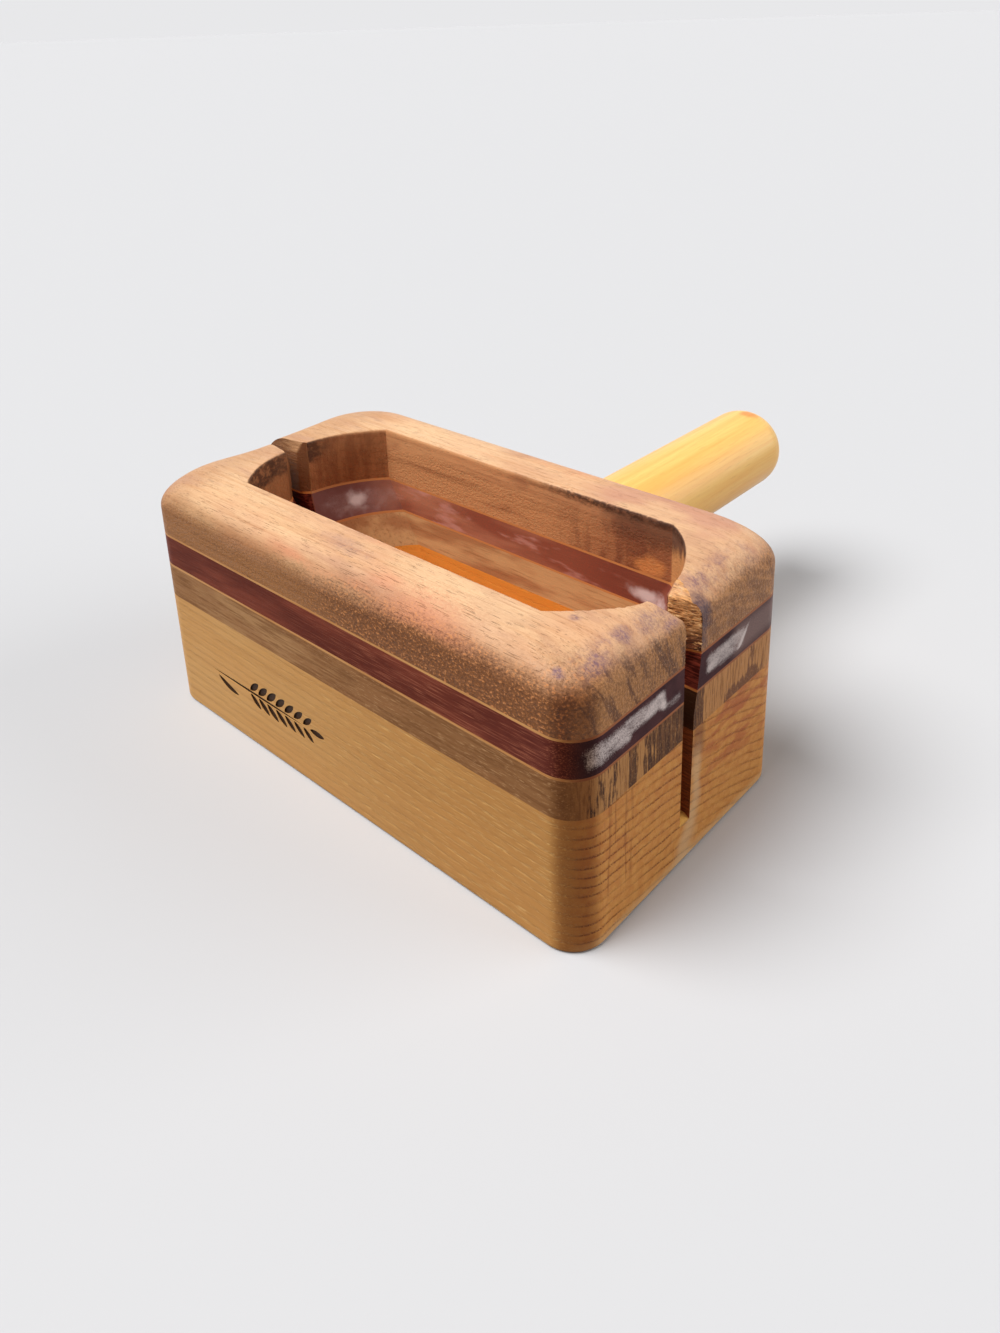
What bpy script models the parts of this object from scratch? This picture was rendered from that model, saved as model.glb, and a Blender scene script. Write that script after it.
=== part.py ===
"""A bagel slicer: a block of glued hardwood layers with a pocket that holds a bagel on its edge.

A knife slot runs the length of the block, through both end walls and a little below the pocket's
floor. A round handle stands out of the rear side. Metres, +Z up. The origin is the middle of the
block's underside, +X runs along the block to its thinner end wall, and the handle points along +Y.
"""

import math

import bmesh
import bpy
from mathutils import Vector

# Sizes of the block
BLOCK_LENGTH = 0.165
BLOCK_WIDTH = 0.0895
CORNER_RADIUS = 0.0095
TOP_ROUND = 0.0095
TOP_CORNER_RADIUS = 0.024

# Thicknesses of the layers, from the bottom up, with a glue line between each two
BASE_THICKNESS = 0.0375
WALNUT_BAND_THICKNESS = 0.0098
LOWER_VENEER_THICKNESS = 0.0007
PURPLEHEART_BAND_THICKNESS = 0.0088
UPPER_VENEER_THICKNESS = 0.0007
WALNUT_CAP_THICKNESS = 0.0170
GLUE_LINE = 0.0003

# Walls round the pocket's mouth, its floor, and the bow of its left and right ends
LEFT_WALL = 0.0182
RIGHT_WALL = 0.0085
FRONT_WALL = 0.01625
REAR_WALL = 0.01925
POCKET_FLOOR_THICKNESS = 0.015
LEFT_END_BOW = 0.0118
RIGHT_END_BOW = 0.0150
RIM_EASING = 0.0012

# How far each end of the pocket draws in for each metre of depth below the cap
END_SLOPE = 0.60

# Knife slot, which leans open a little from its floor to its mouth
SLOT_WIDTH_AT_FLOOR = 0.0044
SLOT_WIDTH_AT_TOP = 0.0068
SLOT_BELOW_POCKET = 0.0025
SLOT_EASING = 0.0030

# Handle, with its bore in the rear wall
HANDLE_DIAMETER = 0.028
HANDLE_REACH = 0.100
HANDLE_END_ROUND = 0.0125
HANDLE_SEAT_DEPTH = 0.012
HANDLE_BELOW_ROUND = 0.0005
HANDLE_SIDE_SHIFT = 0.0185
BORE_CLEARANCE = 0.0003
BORE_END_CLEARANCE = 0.0005

# Fineness of the curves, in segments
CORNER_SEGMENTS = 8
ROUND_SEGMENTS = 8
EASING_SEGMENTS = 4
POCKET_END_SEGMENTS = 24
HANDLE_SEGMENTS = 48
HANDLE_END_SEGMENTS = 10

# How far a cutter runs past the wood that it cuts
OVERRUN = 0.010

# Colour and roughness of each wood
WALNUT_BROWN = ((0.42, 0.25, 0.15), 0.50)
VENEER_YELLOW = ((0.78, 0.50, 0.24), 0.45)
PURPLEHEART_RED = ((0.16, 0.045, 0.04), 0.35)
BASE_TAN = ((0.62, 0.40, 0.19), 0.45)
HANDLE_YELLOW = ((0.85, 0.58, 0.25), 0.30)


def stack_heights():
    """The bottom and top height of each layer, and the block's height."""
    thicknesses = {
        "base": BASE_THICKNESS,
        "walnut_band": WALNUT_BAND_THICKNESS,
        "lower_veneer": LOWER_VENEER_THICKNESS,
        "purpleheart_band": PURPLEHEART_BAND_THICKNESS,
        "upper_veneer": UPPER_VENEER_THICKNESS,
        "walnut_cap": WALNUT_CAP_THICKNESS,
    }
    heights = {}
    z = 0.0
    for layer, thickness in thicknesses.items():
        heights[layer] = (z, z + thickness)
        z += thickness + GLUE_LINE
    return heights, z - GLUE_LINE


LAYERS, BLOCK_HEIGHT = stack_heights()

# The pocket's middle, and half its size each way
POCKET_X = (LEFT_WALL - RIGHT_WALL) / 2
POCKET_Y = (FRONT_WALL - REAR_WALL) / 2
POCKET_HALF_LENGTH = (BLOCK_LENGTH - LEFT_WALL - RIGHT_WALL) / 2
POCKET_HALF_WIDTH = (BLOCK_WIDTH - FRONT_WALL - REAR_WALL) / 2

# The slot runs in the pocket's mid-plane
SLOT_FLOOR = POCKET_FLOOR_THICKNESS - SLOT_BELOW_POCKET

# The handle's axis, just low enough to stand clear of the rounded top edge
HANDLE_RADIUS = HANDLE_DIAMETER / 2
HANDLE_Z = BLOCK_HEIGHT - TOP_ROUND - HANDLE_BELOW_ROUND - HANDLE_RADIUS
REAR_FACE = BLOCK_WIDTH / 2


def clear_scene():
    for obj in list(bpy.data.objects):
        bpy.data.objects.remove(obj)


def wood(name, colour_and_roughness):
    colour, roughness = colour_and_roughness
    material = bpy.data.materials.new(name)
    material.use_nodes = True
    shader = material.node_tree.nodes["Principled BSDF"]
    shader.inputs["Base Color"].default_value = (*colour, 1.0)
    shader.inputs["Roughness"].default_value = roughness
    shader.inputs["Metallic"].default_value = 0.0
    material.diffuse_color = (*colour, 1.0)
    return material


def add_object(name, bm, material=None):
    """A new object from the bmesh, with its faces turned outwards and its round faces smooth."""
    bmesh.ops.recalc_face_normals(bm, faces=bm.faces)
    mesh = bpy.data.meshes.new(name)
    bm.to_mesh(mesh)
    bm.free()
    obj = bpy.data.objects.new(name, mesh)
    bpy.context.scene.collection.objects.link(obj)
    if material:
        mesh.materials.append(material)
        mesh.shade_smooth()
        mesh.set_sharp_from_angle(angle=math.radians(30))
    return obj


def loft(rings):
    """A closed solid through rings of equally many points, each counter-clockwise from above."""
    bm = bmesh.new()
    loops = [[bm.verts.new(point) for point in ring] for ring in rings]
    for low, high in zip(loops, loops[1:]):
        for i in range(len(low)):
            j = (i + 1) % len(low)
            bm.faces.new((low[i], low[j], high[j], high[i]))
    bm.faces.new(reversed(loops[0]))
    bm.faces.new(loops[-1])
    return bm


def block_outline(inset, radius, z):
    """The block's rounded rectangle at one height, drawn in by inset on every side."""
    half_x = BLOCK_LENGTH / 2 - inset - radius
    half_y = BLOCK_WIDTH / 2 - inset - radius
    corners = ((half_x, -half_y, -90), (half_x, half_y, 0), (-half_x, half_y, 90), (-half_x, -half_y, 180))
    ring = []
    for x, y, start in corners:
        for step in range(CORNER_SEGMENTS + 1):
            angle = math.radians(start + 90 * step / CORNER_SEGMENTS)
            ring.append((x + radius * math.cos(angle), y + radius * math.sin(angle), z))
    return ring


def plain_layer(bottom, top):
    return loft([block_outline(0.0, CORNER_RADIUS, z) for z in (bottom, top)])


def rounded_layer(bottom, top):
    """The cap: straight sides, then a quarter round whose corners widen towards the flat top."""
    rings = [block_outline(0.0, CORNER_RADIUS, bottom)]
    for step in range(ROUND_SEGMENTS + 1):
        turn = math.radians(90 * step / ROUND_SEGMENTS)
        share = 1 - math.cos(turn)
        radius = CORNER_RADIUS + (TOP_CORNER_RADIUS - CORNER_RADIUS) * share
        rings.append(block_outline(TOP_ROUND * share, radius, top - TOP_ROUND * (1 - math.sin(turn))))
    return loft(rings)


def drawn_in(z):
    """How far each end of the pocket has drawn in at this height: upright in the cap, sloped below it."""
    return END_SLOPE * max(0.0, LAYERS["walnut_cap"][0] - z)


def pocket_outline(grown, z):
    """Two straight walls and two bowed ends, which meet them at an arris. grown moves all outwards."""
    half_width = POCKET_HALF_WIDTH + grown
    ring = []
    for side, bow in ((1, RIGHT_END_BOW), (-1, LEFT_END_BOW)):
        radius = (half_width**2 + bow**2) / (2 * bow)
        centre = POCKET_HALF_LENGTH + grown - drawn_in(z) - radius
        reach = math.asin(half_width / radius)
        for step in range(POCKET_END_SEGMENTS + 1):
            angle = -reach + 2 * reach * step / POCKET_END_SEGMENTS
            x = side * (centre + radius * math.cos(angle))
            y = side * radius * math.sin(angle)
            ring.append((POCKET_X + x, POCKET_Y + y, z))
    return ring


def eased_edge(easing, top):
    """Pairs of outward step and height that round a cutter's mouth over, up past the wood."""
    steps = []
    for step in range(EASING_SEGMENTS):
        turn = math.radians(90 * step / EASING_SEGMENTS)
        steps.append((easing * (1 - math.cos(turn)), top - easing * (1 - math.sin(turn))))
    steps.append((steps[-1][0] + easing / EASING_SEGMENTS, top + OVERRUN))
    return steps


def slot_half_width(z):
    lean = (SLOT_WIDTH_AT_TOP - SLOT_WIDTH_AT_FLOOR) / (BLOCK_HEIGHT - SLOT_FLOOR)
    return (SLOT_WIDTH_AT_FLOOR + lean * (z - SLOT_FLOOR)) / 2


def slot_wall():
    """The slot's wall from its floor to above the block, as half width and height."""
    wall = [(slot_half_width(SLOT_FLOOR), SLOT_FLOOR)]
    for step, z in eased_edge(SLOT_EASING, BLOCK_HEIGHT):
        wall.append((slot_half_width(z) + step, z))
    return wall


def extrude_along_block(profile):
    """A solid of this outline in Y and Z, a little longer than the block."""
    bm = bmesh.new()
    x = -BLOCK_LENGTH / 2 - OVERRUN
    face = bm.faces.new([bm.verts.new((x, y, z)) for y, z in profile])
    new = bmesh.ops.extrude_face_region(bm, geom=[face])["geom"]
    verts = [item for item in new if isinstance(item, bmesh.types.BMVert)]
    bmesh.ops.translate(bm, verts=verts, vec=Vector((BLOCK_LENGTH + 2 * OVERRUN, 0, 0)))
    return bm


def slot_profile():
    wall = slot_wall()
    left = [(POCKET_Y - half, z) for half, z in wall]
    right = [(POCKET_Y + half, z) for half, z in reversed(wall)]
    return left + right


def waste_profile(side):
    """All that lies beyond one wall of the slot. side is -1 to keep the front, 1 to keep the rear."""
    far = POCKET_Y - side * (BLOCK_WIDTH + OVERRUN)
    wall = [(POCKET_Y + side * slot_half_width(-OVERRUN), -OVERRUN)]
    wall += [(POCKET_Y + side * half, z) for half, z in slot_wall()]
    return wall + [(far, wall[-1][1]), (far, -OVERRUN)]


def turned(profile, segments):
    """A solid of revolution round the Y axis, from pairs of radius and Y that start and end on it."""
    bm = bmesh.new()
    verts = [bm.verts.new((radius, y, 0)) for radius, y in profile]
    edges = [bm.edges.new(pair) for pair in zip(verts, verts[1:])]
    bmesh.ops.spin(
        bm,
        geom=verts + edges,
        cent=(0, 0, 0),
        axis=(0, 1, 0),
        angle=2 * math.pi,
        steps=segments,
        use_merge=True,
    )
    bmesh.ops.remove_doubles(bm, verts=bm.verts, dist=1e-6)
    return bm


def handle_profile():
    """The tenon's end, the straight grip and its rounded end, with Y from the block's rear face."""
    profile = [(0.0, -HANDLE_SEAT_DEPTH), (HANDLE_RADIUS, -HANDLE_SEAT_DEPTH)]
    for step in range(HANDLE_END_SEGMENTS + 1):
        turn = math.radians(90 * step / HANDLE_END_SEGMENTS)
        radius = HANDLE_RADIUS - HANDLE_END_ROUND * (1 - math.cos(turn))
        profile.append((radius, HANDLE_REACH - HANDLE_END_ROUND * (1 - math.sin(turn))))
    profile.append((0.0, HANDLE_REACH))
    return profile


def bore_profile():
    radius = HANDLE_RADIUS + BORE_CLEARANCE
    bottom = -HANDLE_SEAT_DEPTH - BORE_END_CLEARANCE
    return [(0.0, bottom), (radius, bottom), (radius, OVERRUN), (0.0, OVERRUN)]


def on_rear_face(obj):
    obj.location = (HANDLE_SIDE_SHIFT, REAR_FACE, HANDLE_Z)
    return obj


def cutter(name, bm):
    obj = add_object(name, bm)
    obj.hide_render = True
    obj.display_type = "WIRE"
    return obj


def cut(obj, *tools):
    for tool in tools:
        modifier = obj.modifiers.new("cut " + tool.name, "BOOLEAN")
        modifier.operation = "DIFFERENCE"
        modifier.solver = "EXACT"
        modifier.object = tool


def pocket_cutter():
    rings = [pocket_outline(0.0, z) for z in (POCKET_FLOOR_THICKNESS, LAYERS["walnut_cap"][0])]
    rings += [pocket_outline(step, z) for step, z in eased_edge(RIM_EASING, BLOCK_HEIGHT)]
    return cutter("pocket_cutter", loft(rings))


def build_base(pocket, bore):
    base = add_object("base_block", plain_layer(*LAYERS["base"]), wood("base", BASE_TAN))
    slot = cutter("slot_cutter", extrude_along_block(slot_profile()))
    cut(base, pocket, slot, bore)


def build_rings(pocket, bore):
    """Each layer above the base, which the pocket and the slot part into a front and a rear half."""
    woods = {
        "walnut_band": wood("walnut", WALNUT_BROWN),
        "lower_veneer": wood("veneer", VENEER_YELLOW),
        "purpleheart_band": wood("purpleheart", PURPLEHEART_RED),
    }
    woods["upper_veneer"] = woods["lower_veneer"]
    woods["walnut_cap"] = woods["walnut_band"]
    rear_waste = cutter("rear_waste", extrude_along_block(waste_profile(-1)))
    front_waste = cutter("front_waste", extrude_along_block(waste_profile(1)))
    for layer, material in woods.items():
        shape = rounded_layer if layer == "walnut_cap" else plain_layer
        front = add_object(layer + "_front", shape(*LAYERS[layer]), material)
        cut(front, pocket, rear_waste)
        rear = add_object(layer + "_rear", shape(*LAYERS[layer]), material)
        cut(rear, pocket, front_waste, bore)


def build_handle():
    material = wood("handle", HANDLE_YELLOW)
    return on_rear_face(add_object("handle", turned(handle_profile(), HANDLE_SEGMENTS), material))


def main():
    clear_scene()
    pocket = pocket_cutter()
    bore = on_rear_face(cutter("bore_cutter", turned(bore_profile(), HANDLE_SEGMENTS)))
    build_base(pocket, bore)
    build_rings(pocket, bore)
    build_handle()


main()
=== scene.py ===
"""The bagel slicer as it looks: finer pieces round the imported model, with woods, camera and light."""
import math

import bmesh
import bpy
from mathutils import Matrix, Vector, noise as perlin


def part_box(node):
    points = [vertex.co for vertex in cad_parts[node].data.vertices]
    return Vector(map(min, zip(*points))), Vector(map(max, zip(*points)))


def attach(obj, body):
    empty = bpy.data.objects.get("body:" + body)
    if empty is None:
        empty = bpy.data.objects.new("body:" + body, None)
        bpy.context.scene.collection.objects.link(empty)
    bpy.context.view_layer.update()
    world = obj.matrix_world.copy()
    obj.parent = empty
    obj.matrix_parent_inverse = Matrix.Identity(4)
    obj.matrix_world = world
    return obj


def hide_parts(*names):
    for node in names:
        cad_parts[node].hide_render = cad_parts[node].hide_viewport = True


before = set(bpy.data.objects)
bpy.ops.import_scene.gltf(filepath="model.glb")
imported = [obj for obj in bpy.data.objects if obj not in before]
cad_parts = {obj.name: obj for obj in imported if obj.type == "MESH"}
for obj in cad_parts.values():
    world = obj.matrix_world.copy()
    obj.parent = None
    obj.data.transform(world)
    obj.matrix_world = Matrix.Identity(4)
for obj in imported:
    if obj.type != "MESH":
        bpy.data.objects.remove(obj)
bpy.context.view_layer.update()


# Shape, in millimetres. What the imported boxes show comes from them, and the rest repeats the part.

def box_mm(node):
    return [[1000 * value for value in corner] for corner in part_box(node)]


HALF_X, HALF_Y = box_mm("base_block")[1][:2]
BASE_TOP = (box_mm("base_block")[1][2] + box_mm("walnut_band_front")[0][2]) / 2
BAND_TOP, PURPLE_BOTTOM = [corner[2] for corner in box_mm("lower_veneer_front")]
PURPLE_TOP, CAP_BOTTOM = [corner[2] for corner in box_mm("upper_veneer_front")]
TOP = box_mm("walnut_cap_front")[1][2]
HANDLE_LOW, HANDLE_HIGH = box_mm("handle")

CORNER_RADIUS = 9.5
TOP_ROUND = 9.5
TOP_CORNER_RADIUS = 24.0
FOOT_ROUND = 0.8
POCKET_X, POCKET_Y = 4.85, -1.5
POCKET_HALF_LENGTH, POCKET_HALF_WIDTH = 69.15, 27.0
POCKET_FLOOR = 15.0
POCKET_FLOOR_ROUND = 1.2
SLOT_FLOOR = 12.5
# How far the slot's floor falls away at each end, for each millimetre of its lip
SLOT_LIP = 1.6
SLOT_LIP_FALL = 0.7

# The bow of the pocket's left (-1) and right (1) end, its radius and how far out it meets the walls,
# and how much the ends draw in for each millimetre below the cap
BOWS = {-1: 11.8, 1: 15.0}
BOW_RADII = {end: (POCKET_HALF_WIDTH**2 + bow**2) / (2 * bow) for end, bow in BOWS.items()}
ARRISES = {end: POCKET_HALF_LENGTH - bow for end, bow in BOWS.items()}
END_SLOPE = 0.60

# The slot's walls as height and Y at the outer face, for its left (-1) and right (1) end, and for
# its front (-1) and rear (1) side, and then the Y at which each wall meets the pocket
SLOT_WALLS = {
    (-1, -1): ((12.5, -3.6), (48, -3.3), (58, -2.9)),
    (-1, 1): ((12.5, -0.3), (48, -0.3), (58, -0.4)),
    (1, -1): ((12.5, -4.4), (58, -4.4)),
    (1, 1): ((12.5, 0), (42, 0.4), (48.4, 1.5), (58, 2.8)),
}
SLOT_MOUTHS = {(-1, -1): -3.5, (-1, 1): -0.2, (1, -1): -4.4, (1, 1): 0.2}
# The chamfer on each wall's upper edge: its width at the pocket, the length over which it narrows
# outwards, and its depth. Then the chamfer where the wall meets the pocket, and how rough it is.
SLOT_CHAMFERS = {
    (-1, -1): (3.4, 18, 7, 2.8, 0.08),
    (-1, 1): (1.8, 18, 4, 2.6, 0.08),
    (1, -1): (5.3, 80, 6, 0.5, 0.16),
    (1, 1): (6.6, 24, 4.5, 0.5, 0.3),
}
# How much lower the top is beside the slot, and where this begins and is full, along X and off the slot
WORN_TOP = {(-1, -1): 1.4, (-1, 1): 0.5, (1, -1): 1.5, (1, 1): 1.5}
WORN_ALONG = (58, 78)
WORN_ACROSS = (30, 6)

# How the points of a ring half are shared out: how far off the slot they begin, how much they crowd
# towards it, how much of the pocket's bowed end comes before the block's corner, how far along the
# pocket's wall the corner goes on, and the steps of the end and of the corner
SLOT_CLEAR = 3.0
CROWDING = 1.7
END_SHARE = 0.70
WALL_RUN = 8.0
SIDE_STEPS = 30
CORNER_STEPS = 16

# The angle from which an edge stays sharp, and how far each cutter reaches past what it cuts
SHARP_ANGLE = math.radians(38)
CUTTER_OVERRUN = 5.0


def smooth(value, low, high):
    share = min(1.0, max(0.0, (value - low) / (high - low)))
    return share * share * (3 - 2 * share)


def quarter(steps):
    """A quarter round of radius 1, as pairs: what is left to go sideways, and what has been gone up."""
    turns = [math.pi / 2 * step / steps for step in range(steps + 1)]
    return [(1 - math.sin(turn), 1 - math.cos(turn)) for turn in turns]


def along(table, value):
    """Straight-line reading of a table of pairs."""
    for (a, low), (b, high) in zip(table, table[1:]):
        if value <= b:
            return low + (high - low) * max(0.0, value - a) / (b - a)
    return table[-1][1]


def drawn_in(z):
    """How far each end of the pocket has drawn in at this height."""
    return END_SLOPE * max(0.0, CAP_BOTTOM - z)


def arc_x(end, y, z=TOP):
    """X of the pocket's bowed end at this Y and height."""
    across = min(abs(y - POCKET_Y), POCKET_HALF_WIDTH)
    bulge = math.sqrt(BOW_RADII[end] ** 2 - across**2) - BOW_RADII[end]
    return POCKET_X + end * (POCKET_HALF_LENGTH + bulge - drawn_in(z))


def outside(x, y, share):
    """How far a point lies outside the outline of the rounded top at this share of its inset."""
    inset = TOP_ROUND * share
    radius = CORNER_RADIUS + (TOP_CORNER_RADIUS - CORNER_RADIUS) * share
    dx = abs(x) - (HALF_X - inset - radius)
    dy = abs(y) - (HALF_Y - inset - radius)
    if dx > 0 and dy > 0:
        return math.hypot(dx, dy) - radius
    return max(dx, dy) - radius


def top_height(x, y, halvings=24):
    """Height of the cap's rounded upper surface, which is worn down a little at the slot."""
    end = 1 if x > POCKET_X else -1
    side = 1 if y > POCKET_Y else -1
    worn = WORN_TOP[end, side] * smooth(end * x, *WORN_ALONG) * smooth(abs(y - POCKET_Y), *WORN_ACROSS)
    low, high = 0.0, 1.0
    if outside(x, y, high) <= 0:
        return TOP - worn
    for _ in range(halvings):
        middle = (low + high) / 2
        if outside(x, y, middle) <= 0:
            low = middle
        else:
            high = middle
    return TOP - TOP_ROUND * (1 - math.sqrt(1 - (1 - low) ** 2)) - worn * smooth(low, 0.0, 0.3)


def slot_y(side, x, z):
    """Y of the slot's wall: it leans, is cut away towards the pocket and the top, and is roughly sawn."""
    end = 1 if x > POCKET_X else -1
    width, length, depth, corner, roughness = SLOT_CHAMFERS[end, side]
    past_mouth = max(0.0, end * (x - POCKET_X) - POCKET_HALF_LENGTH + drawn_in(z))
    outwards = min(1.0, past_mouth / (HALF_X - POCKET_X - POCKET_HALF_LENGTH))
    to_right = smooth(x, -60, 70)
    mouth = SLOT_MOUTHS[-1, side] * (1 - to_right) + SLOT_MOUTHS[1, side] * to_right
    wall = mouth * (1 - outwards) + along(SLOT_WALLS[end, side], z) * outwards
    width *= max(0.0, 1 - past_mouth / length) * max(0.0, 1 - (TOP - z) / depth)
    corner = max(0.0, corner - past_mouth) * smooth(z, PURPLE_BOTTOM, CAP_BOTTOM + 3)
    coarse = roughness * smooth(z, BASE_TOP, CAP_BOTTOM + 6)
    fibres = perlin.noise((x * 0.2, z * 1.7, 7 * side))
    fibres += 0.7 * perlin.noise((x * 0.6, z * 3.6, 3 * side))
    return wall + side * (max(width, corner) + coarse * fibres)


# Ring layers: a front and a rear half, each a C in plan from slot to slot

def inner_point(x, y, z):
    """A point of the pocket's outline at the cap, moved to where it lies at this height."""
    end = 1 if x > POCKET_X else -1
    share = min(1.0, end * (x - POCKET_X) / ARRISES[end])
    return x - end * share * drawn_in(z), y


def stations(side, front_steps):
    """Points of the outer and the inner outline, from the slot's left end to its right end."""
    y_slot = POCKET_Y + side * SLOT_CLEAR
    y_wall = POCKET_Y + side * POCKET_HALF_WIDTH
    y_corner = side * (HALF_Y - CORNER_RADIUS)
    half_corner = CORNER_STEPS / 2
    left = []
    for step in range(SIDE_STEPS):
        share = (step / SIDE_STEPS) ** CROWDING
        outer = (HALF_X, y_slot + share * (y_corner - y_slot))
        left.append((outer, END_SHARE * share, 0.0, (1 - share) ** 2))
    for step, (aside, rise) in enumerate(quarter(CORNER_STEPS)[:-1]):
        outer = (HALF_X - CORNER_RADIUS * rise, side * (HALF_Y - CORNER_RADIUS * aside))
        share = min(1.0, END_SHARE + (1 - END_SHARE) * step / half_corner)
        left.append((outer, share, WALL_RUN * max(0.0, step / half_corner - 1), 0.0))

    def inner(end, share, run):
        y = y_slot + share * (y_wall - y_slot)
        return arc_x(end, y) - end * run, y

    result = [((-x, y), inner(-1, share, run), pull) for (x, y), share, run, pull in left]
    for step in range(front_steps + 1):
        share = step / front_steps
        x = (HALF_X - CORNER_RADIUS) * (2 * share - 1)
        inner_x = POCKET_X + (ARRISES[1] - WALL_RUN) * share - (ARRISES[-1] - WALL_RUN) * (1 - share)
        result.append(((x, side * HALF_Y), (inner_x, y_wall), 0.0))
    return result + [((x, y), inner(1, share, run), pull) for (x, y), share, run, pull in reversed(left)]


def rim_wear(x, y):
    """Radius of the pocket's worn rim, with chips, which are larger at the right of the rear side."""
    wave = perlin.noise((x * 0.13, y * 0.13, 2))
    nick = perlin.noise((x * 0.9, y * 0.9, 9)) + 0.5 * perlin.noise((x * 2.3, y * 2.3, 5))
    rough = smooth(y, 5, 22) * smooth(x, -20, 40)
    chipped = max(rough, 0.7 * smooth(x, 54, 64))
    base = 0.7 + 0.5 * smooth(y, 5, 22)
    return base + 0.14 * wave + (0.3 + 0.9 * chipped) * max(0.0, nick) ** 1.3


def lerp(a, b, share):
    return [u + (v - u) * share for u, v in zip(a, b)]


def eased(steps):
    """Shares from 0 to 1, closer together at both ends."""
    return [(1 - math.cos(math.pi * step / steps)) / 2 for step in range(steps + 1)]


def profile(outer, inner, bottom, top, columns, wall_steps, rim_steps):
    """The closed section at one station: along the bottom, up outside, back on top, down inside."""
    if rim_steps:
        length = math.dist(outer, inner)
        wear = rim_wear(*inner)
        rim = lerp(inner, outer, wear / length)
        upper = []
        for share in eased(columns - rim_steps):
            x, y = lerp(outer, rim, share)
            upper.append((x, y, top_height(x, y)))
        rim_height = top_height(*rim)
        for aside, rise in quarter(rim_steps)[1:]:
            x, y = lerp(inner, outer, wear * aside / length)
            upper.append((x, y, rim_height - wear * rise))
    else:
        upper = [(*lerp(outer, inner_point(*inner, top), share), top) for share in eased(columns)]
    foot = inner_point(*inner, bottom)
    lower = [(*lerp(outer, foot, share), bottom) for share in reversed(eased(columns))]
    shares = [step / wall_steps for step in range(1, wall_steps)]
    outside_wall = [(*outer, bottom + (upper[0][2] - bottom) * share) for share in shares]
    heights = [upper[-1][2] + (bottom - upper[-1][2]) * share for share in shares]
    inside_wall = [(*inner_point(*inner, z), z) for z in heights]
    return lower + outside_wall + upper + inside_wall


def corner_shares(u, v):
    return ((1 - u) * (1 - v), u * (1 - v), (1 - u) * v, u * v)


def end_cap(ring, columns, rows, side):
    """Points and indices of the patch that closes a half at the slot, from the section's four sides."""
    count = len(ring)
    edge = {(i, 0): i for i in range(columns + 1)}
    edge.update({(i, rows): 2 * columns + rows - i for i in range(columns + 1)})
    edge.update({(0, j): -j % count for j in range(rows + 1)})
    edge.update({(columns, j): columns + j for j in range(rows + 1)})
    corners = [ring[edge[place]] for place in ((0, 0), (columns, 0), (0, rows), (columns, rows))]
    points = []
    grid = []
    for i in range(columns + 1):
        line = []
        for j in range(rows + 1):
            if (i, j) in edge:
                line.append(edge[i, j])
                continue
            u, v = i / columns, j / rows
            sides = [ring[edge[place]] for place in ((i, 0), (i, rows), (0, j), (columns, j))]
            x, z = [
                sum(share * point[k] for share, point in zip((1 - v, v, 1 - u, u), sides))
                - sum(share * point[k] for share, point in zip(corner_shares(u, v), corners))
                for k in (0, 2)
            ]
            line.append(count + len(points))
            points.append((x, slot_y(side, x, z), z))
        grid.append(line)
    return points, grid


def bands(start, stop, count):
    """Faces between rings of equally many points, which lie one after the other in a list."""
    faces = []
    for low in range(start, stop - count, count):
        for i in range(count):
            j = (i + 1) % count
            faces.append((low + i, low + j, low + count + j, low + count + i))
    return faces


def placed(name, data):
    obj = bpy.data.objects.new(name, data)
    bpy.context.scene.collection.objects.link(obj)
    return obj


def mesh_object(name, points, faces):
    """An object from points in millimetres, smooth but for its sharp edges."""
    mesh = bpy.data.meshes.new(name)
    mesh.from_pydata([[0.001 * value for value in point] for point in points], [], faces)
    mesh.validate()
    work = bmesh.new()
    work.from_mesh(mesh)
    bmesh.ops.recalc_face_normals(work, faces=work.faces[:])
    work.to_mesh(mesh)
    work.free()
    mesh.shade_smooth()
    mesh.set_sharp_from_angle(angle=SHARP_ANGLE)
    return placed(name, mesh)


def ring_half(name, side, bottom, top, columns, rows, front_steps, rim_steps=0):
    """One half of a layer. Next to the slot its sections are pulled on to the slot's uneven wall."""
    y_slot = POCKET_Y + side * SLOT_CLEAR
    rings = []
    for outer, inner, pull in stations(side, front_steps):
        ring = profile(outer, inner, bottom, top, columns, rows, rim_steps)
        if pull:
            ring = [(x, y + (slot_y(side, x, z) - y_slot) * pull, z) for x, y, z in ring]
        rings.append(ring)
    count = len(rings[0])
    points = [point for ring in rings for point in ring]
    faces = bands(0, len(points), count)
    for ring, base in ((rings[0], 0), (rings[-1], len(points) - count)):
        extra, grid = end_cap(ring, columns, rows, side)
        start = len(points)
        points += extra
        for i in range(columns):
            for j in range(rows):
                face = [grid[i][j], grid[i + 1][j], grid[i + 1][j + 1], grid[i][j + 1]]
                faces.append([base + k if k < count else start + k - count for k in face])
    return mesh_object(name, points, faces)


# Base: one block, cut by the pocket and the slot

def outline(inset, radius, z, steps=24):
    """The block's outline at one height, drawn in by an inset."""
    ring = []
    for x_sign, y_sign, start in ((1, -1, -90), (1, 1, 0), (-1, 1, 90), (-1, -1, 180)):
        x = x_sign * (HALF_X - inset - radius)
        y = y_sign * (HALF_Y - inset - radius)
        for step in range(steps + 1):
            angle = math.radians(start + 90 * step / steps)
            ring.append((x + radius * math.cos(angle), y + radius * math.sin(angle), z))
    return ring


def loft(name, rings):
    """A closed solid through rings of equally many points."""
    count = len(rings[0])
    points = [point for ring in rings for point in ring]
    faces = bands(0, len(points), count)
    faces.append(tuple(reversed(range(count))))
    faces.append(tuple(range(len(points) - count, len(points))))
    return mesh_object(name, points, faces)


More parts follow.
